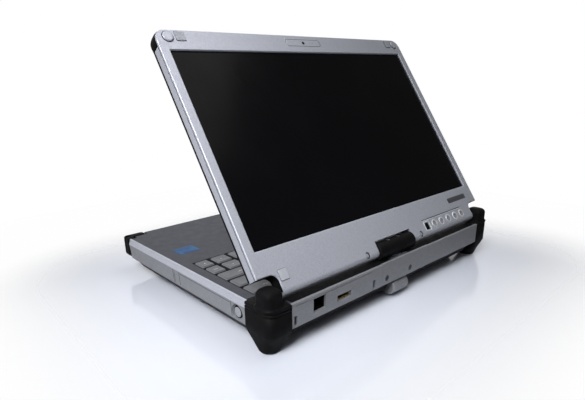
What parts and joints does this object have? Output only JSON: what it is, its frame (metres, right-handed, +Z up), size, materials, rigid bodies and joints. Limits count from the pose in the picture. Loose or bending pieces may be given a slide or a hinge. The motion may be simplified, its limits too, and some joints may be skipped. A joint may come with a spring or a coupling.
{
  "type": "convertible laptop computer",
  "caption": "Rugged convertible laptop whose display tilts and swivels on a centre hinge, with corner bumpers, keyboard rows and a slide-out battery.",
  "frame": {"origin": "centre of the footprint on the table", "axes": "+X to the user's right, +Y to the rear, +Z up"},
  "size_m": [0.297, 0.226, 0.2166],
  "materials": {
    "silver_case": "satin silver paint on cast metal",
    "silver_lid": "satin silver paint",
    "deck_paint": "dark satin paint",
    "black_bumper": "matt moulded",
    "black_plastic": "matt moulded",
    "rubber": "matt",
    "key_plastic": "satin moulded",
    "button_plastic": "satin silver",
    "screen_glass": "gloss",
    "screw_steel": "plain",
    "gold_contact": "bright",
    "circuit_board": "satin",
    "copper": "bright copper"
  },
  "bodies": {
    "base": {"bottom_case": "silver_case", "bottom_cover": "black_plastic", "case_screws": "screw_steel", "deck_cover": "deck_paint", "rear_port_plate": "silver_case", "rear_center_cover": "silver_case", "rear_blank_cover": "silver_case", "corner_bumper_rear_right": "black_bumper", "corner_bumper_rear_left": "black_bumper", "corner_bumper_front_right": "black_bumper", "corner_bumper_front_left": "black_bumper", "front_feet": "rubber", "strap_anchor": "silver_case", "lan_jack": "black_plastic", "video_jack": "gold_contact", "keyboard_tray": "screw_steel", "key_membrane": "rubber", "touchpad": "key_plastic", "mainboard": "circuit_board", "memory_module": "circuit_board", "storage_drive": "screw_steel", "wireless_card": "circuit_board", "heat_pipe_cooler": "copper", "fan_housing": "black_plastic", "vent_grille": "black_plastic", "swivel_bearing": "screw_steel"},
    "swivel": {"swivel_post": "screw_steel", "hinge_housing": "black_plastic", "housing_screws": "screw_steel", "hinge_shafts": "screw_steel"},
    "display": {"display_bezel": "silver_lid", "display_rear_cover": "silver_lid", "display_corner_guards": "black_bumper", "touch_glass": "screen_glass", "lcd_panel": "screw_steel", "webcam_module": "circuit_board", "webcam_window": "screen_glass", "bezel_pads": "rubber", "corner_bosses": "silver_lid", "hinge_brackets": "screw_steel"},
    "battery": {"battery_pack": "black_plastic", "battery_end_cap": "silver_case"},
    "battery_release": {"battery_release_button": "button_plastic"},
    "touchpad_left": {"touchpad_left_button": "key_plastic"},
    "touchpad_right": {"touchpad_right_button": "key_plastic"},
    "fan": {"fan_rotor": "black_plastic"},
    "hold_switch": {"hold_switch": "black_plastic"},
    "keys_1": {"key_row_1": "key_plastic"},
    "keys_2": {"key_row_2": "key_plastic"},
    "keys_3": {"key_row_3": "key_plastic"},
    "keys_4": {"key_row_4": "key_plastic"},
    "keys_5": {"key_row_5": "key_plastic"},
    "keys_6": {"key_row_6": "key_plastic"},
    "button_1": {"display_button_1": "button_plastic"},
    "button_2": {"display_button_2": "button_plastic"},
    "button_3": {"display_button_3": "button_plastic"},
    "button_4": {"display_button_4": "button_plastic"},
    "button_5": {"display_button_5": "button_plastic"}
  },
  "joints": [
    {"name": "display_swivel", "type": "hinge", "parent": "base", "child": "swivel", "pos_m": [0, 0.1013, 0.043], "axis": [0, 0, 1], "range_deg": [0, 180]},
    {"name": "display_tilt", "type": "hinge", "parent": "swivel", "child": "display", "pos_m": [0, 0.1013, 0.043], "axis": [-1, 0, 0], "range_deg": [-56.19, 78.81]},
    {"name": "key_row_1_press", "type": "slide", "parent": "base", "child": "keys_1", "axis": [0, 0, -1], "range_m": [0, 0.002], "stiffness_N_per_m": 400},
    {"name": "key_row_2_press", "type": "slide", "parent": "base", "child": "keys_2", "axis": [0, 0, -1], "range_m": [0, 0.002], "stiffness_N_per_m": 400},
    {"name": "key_row_3_press", "type": "slide", "parent": "base", "child": "keys_3", "axis": [0, 0, -1], "range_m": [0, 0.002], "stiffness_N_per_m": 400},
    {"name": "key_row_4_press", "type": "slide", "parent": "base", "child": "keys_4", "axis": [0, 0, -1], "range_m": [0, 0.002], "stiffness_N_per_m": 400},
    {"name": "key_row_5_press", "type": "slide", "parent": "base", "child": "keys_5", "axis": [0, 0, -1], "range_m": [0, 0.002], "stiffness_N_per_m": 400},
    {"name": "key_row_6_press", "type": "slide", "parent": "base", "child": "keys_6", "axis": [0, 0, -1], "range_m": [0, 0.002], "stiffness_N_per_m": 400},
    {"name": "touchpad_left_press", "type": "slide", "parent": "base", "child": "touchpad_left", "axis": [0, 0, -1], "range_m": [0, 0.0008], "stiffness_N_per_m": 600},
    {"name": "touchpad_right_press", "type": "slide", "parent": "base", "child": "touchpad_right", "axis": [0, 0, -1], "range_m": [0, 0.0008], "stiffness_N_per_m": 600},
    {"name": "battery_slide", "type": "slide", "parent": "base", "child": "battery", "axis": [1, 0, 0], "range_m": [0, 0.12]},
    {"name": "battery_release_press", "type": "slide", "parent": "base", "child": "battery_release", "axis": [-1, 0, 0], "range_m": [0, 0.0015], "stiffness_N_per_m": 600},
    {"name": "fan_spin", "type": "hinge", "parent": "base", "child": "fan", "pos_m": [-0.114, 0.041, 0.02], "axis": [0, 0, 1], "continuous": true},
    {"name": "display_button_1_press", "type": "slide", "parent": "display", "child": "button_1", "axis": [0, -0.8309, -0.5564], "range_m": [0, 0.0007], "stiffness_N_per_m": 500},
    {"name": "display_button_2_press", "type": "slide", "parent": "display", "child": "button_2", "axis": [0, -0.8309, -0.5564], "range_m": [0, 0.0007], "stiffness_N_per_m": 500},
    {"name": "display_button_3_press", "type": "slide", "parent": "display", "child": "button_3", "axis": [0, -0.8309, -0.5564], "range_m": [0, 0.0007], "stiffness_N_per_m": 500},
    {"name": "display_button_4_press", "type": "slide", "parent": "display", "child": "button_4", "axis": [0, -0.8309, -0.5564], "range_m": [0, 0.0007], "stiffness_N_per_m": 500},
    {"name": "display_button_5_press", "type": "slide", "parent": "display", "child": "button_5", "axis": [0, -0.8309, -0.5564], "range_m": [0, 0.0007], "stiffness_N_per_m": 500},
    {"name": "hold_switch_slide", "type": "slide", "parent": "display", "child": "hold_switch", "axis": [1, 0, 0], "range_m": [-0.0015, 0.0015]}
  ]
}
